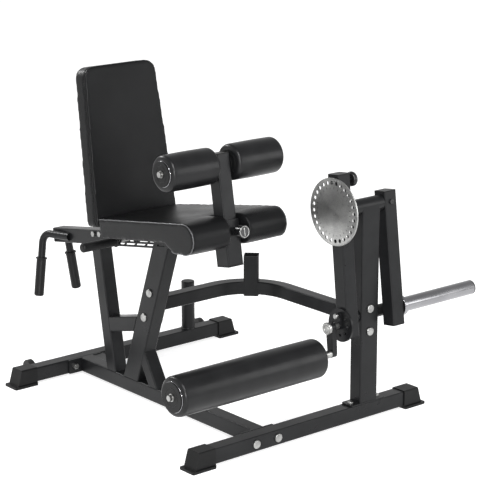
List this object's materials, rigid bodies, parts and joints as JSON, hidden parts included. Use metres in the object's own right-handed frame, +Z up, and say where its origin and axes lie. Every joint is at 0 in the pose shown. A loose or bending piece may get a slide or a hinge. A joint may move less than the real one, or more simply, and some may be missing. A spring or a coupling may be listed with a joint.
{
  "type": "leg extension machine",
  "caption": "Leg extension and prone leg curl machine: tilted seat, reclining backrest, knee and ankle rollers, and a pivoting lever with a selector disc and a weight sleeve.",
  "frame": {"origin": "middle of the footprint's bounding box, on the floor", "axes": "+X forward, the way the user faces; +Y the user's left, the weight sleeve's side; +Z up"},
  "size_m": [1.2478, 1.269, 1.1155],
  "materials": {
    "frame_paint": "satin",
    "upholstery": "satin",
    "roller_foam": "satin",
    "pad_board": "matte",
    "cap_plastic": "satin",
    "knob_plastic": "gloss",
    "grip_rubber": "matte",
    "bumper_rubber": "matte",
    "zinc_steel": "satin",
    "chrome_steel": "polished",
    "bush_nylon": "satin",
    "wheel_rubber": "satin"
  },
  "bodies": {
    "frame": {"rear_crossbar": "frame_paint", "front_crossbar": "frame_paint", "base_beam": "frame_paint", "foot_caps": "cap_plastic", "rear_post": "frame_paint", "front_post": "frame_paint", "post_tie": "frame_paint", "front_brace": "frame_paint", "rear_tube": "frame_paint", "seat_rail": "frame_paint", "notch_rack": "frame_paint", "hinge_pin": "zinc_steel", "knee_sleeve": "frame_paint", "frame_plugs": "cap_plastic", "seat_board": "pad_board", "seat_pad": "upholstery", "prone_handles": "frame_paint", "prone_grips": "grip_rubber", "curved_bar": "frame_paint", "accessory_socket": "frame_paint", "main_upright": "frame_paint", "pivot_housing": "frame_paint", "pivot_bushings": "bush_nylon", "stop_rod": "frame_paint", "stop_bumper": "bumper_rubber", "storage_post": "frame_paint", "wheel_brackets": "frame_paint", "frame_bolts": "zinc_steel"},
    "backrest": {"backrest_pad": "upholstery", "backrest_board": "pad_board", "backrest_frame": "frame_paint", "backrest_screws": "zinc_steel"},
    "adjuster": {"adjust_bar": "zinc_steel", "adjust_grips": "grip_rubber"},
    "knee_support": {"knee_post": "frame_paint", "knee_post_cap": "cap_plastic", "knee_axle": "zinc_steel"},
    "knee_roll_left": {"knee_roller_left": "roller_foam", "knee_caps_left": "cap_plastic"},
    "knee_roll_right": {"knee_roller_right": "roller_foam", "knee_caps_right": "cap_plastic"},
    "knee_lock": {"knee_pin": "knob_plastic"},
    "rotor": {"pivot_shaft": "zinc_steel", "selector_disc": "zinc_steel", "weight_arm": "frame_paint", "weight_arm_caps": "cap_plastic", "weight_sleeve": "chrome_steel", "arm_lock_bolt": "knob_plastic"},
    "lever": {"leg_lever": "frame_paint", "leg_lever_caps": "cap_plastic", "index_plate": "frame_paint", "index_bolt": "zinc_steel"},
    "selector": {"selector_pin": "knob_plastic"},
    "ankle_arm": {"roller_arm": "frame_paint", "roller_axle": "zinc_steel"},
    "ankle_index": {"index_knob": "zinc_steel"},
    "ankle_roll": {"long_roller": "roller_foam", "long_roller_caps": "cap_plastic"},
    "wheel_left": {"transport_wheel_left": "wheel_rubber"},
    "wheel_right": {"transport_wheel_right": "wheel_rubber"}
  },
  "joints": [
    {"name": "backrest_recline", "type": "hinge", "parent": "frame", "child": "backrest", "pos_m": [-0.15732, -0.2305, 0.58148], "axis": [0, -1, 0], "range_deg": [0, 80]},
    {"name": "adjust_bar_travel", "type": "slide", "parent": "frame", "child": "adjuster", "axis": [0.9859, 0, 0.1676], "range_m": [0, 0.0815]},
    {"name": "knee_height", "type": "slide", "parent": "frame", "child": "knee_support", "axis": [-0.1676, 0, 0.9859], "range_m": [0, 0.06]},
    {"name": "knee_roller_left_spin", "type": "hinge", "parent": "knee_support", "child": "knee_roll_left", "pos_m": [0.30338, -0.1105, 0.86674], "axis": [0, -1, 0], "continuous": true},
    {"name": "knee_roller_right_spin", "type": "hinge", "parent": "knee_support", "child": "knee_roll_right", "pos_m": [0.30338, -0.3505, 0.86674], "axis": [0, -1, 0], "continuous": true},
    {"name": "knee_pin_pull", "type": "slide", "parent": "frame", "child": "knee_lock", "axis": [0.9859, 0, 0.1676], "range_m": [0, 0.012], "stiffness_N_per_m": 500, "springref_m": -0.006},
    {"name": "weight_arm_swing", "type": "hinge", "parent": "frame", "child": "rotor", "pos_m": [0.51591, 0.1995, 0.71], "axis": [0, -1, 0], "range_deg": [0, 120]},
    {"name": "lever_start_angle", "type": "hinge", "parent": "rotor", "child": "lever", "pos_m": [0.51591, 0.0835, 0.71], "axis": [0, -1, 0], "range_deg": [-30, 30]},
    {"name": "selector_pin_pull", "type": "slide", "parent": "lever", "child": "selector", "axis": [0, 1, 0], "range_m": [0, 0.008], "stiffness_N_per_m": 500, "springref_m": -0.006},
    {"name": "ankle_arm_angle", "type": "hinge", "parent": "lever", "child": "ankle_arm", "pos_m": [0.55474, 0.0445, 0.3526], "axis": [0, -1, 0], "range_deg": [-60, 60]},
    {"name": "index_knob_pull", "type": "slide", "parent": "ankle_arm", "child": "ankle_index", "axis": [0, -1, 0], "range_m": [0, 0.012], "stiffness_N_per_m": 500, "springref_m": -0.006},
    {"name": "ankle_roller_spin", "type": "hinge", "parent": "ankle_arm", "child": "ankle_roll", "pos_m": [0.56191, -0.3305, 0.27], "axis": [0, -1, 0], "continuous": true},
    {"name": "transport_wheel_left_spin", "type": "hinge", "parent": "frame", "child": "wheel_left", "pos_m": [-0.51809, 0.3355, 0.035], "axis": [0, -1, 0], "continuous": true},
    {"name": "transport_wheel_right_spin", "type": "hinge", "parent": "frame", "child": "wheel_right", "pos_m": [-0.51809, -0.4105, 0.035], "axis": [0, -1, 0], "continuous": true}
  ],
  "couplings": [
    {"joint": "adjust_bar_travel", "follows": "backrest_recline", "m_per_rad": 0.05773}
  ]
}
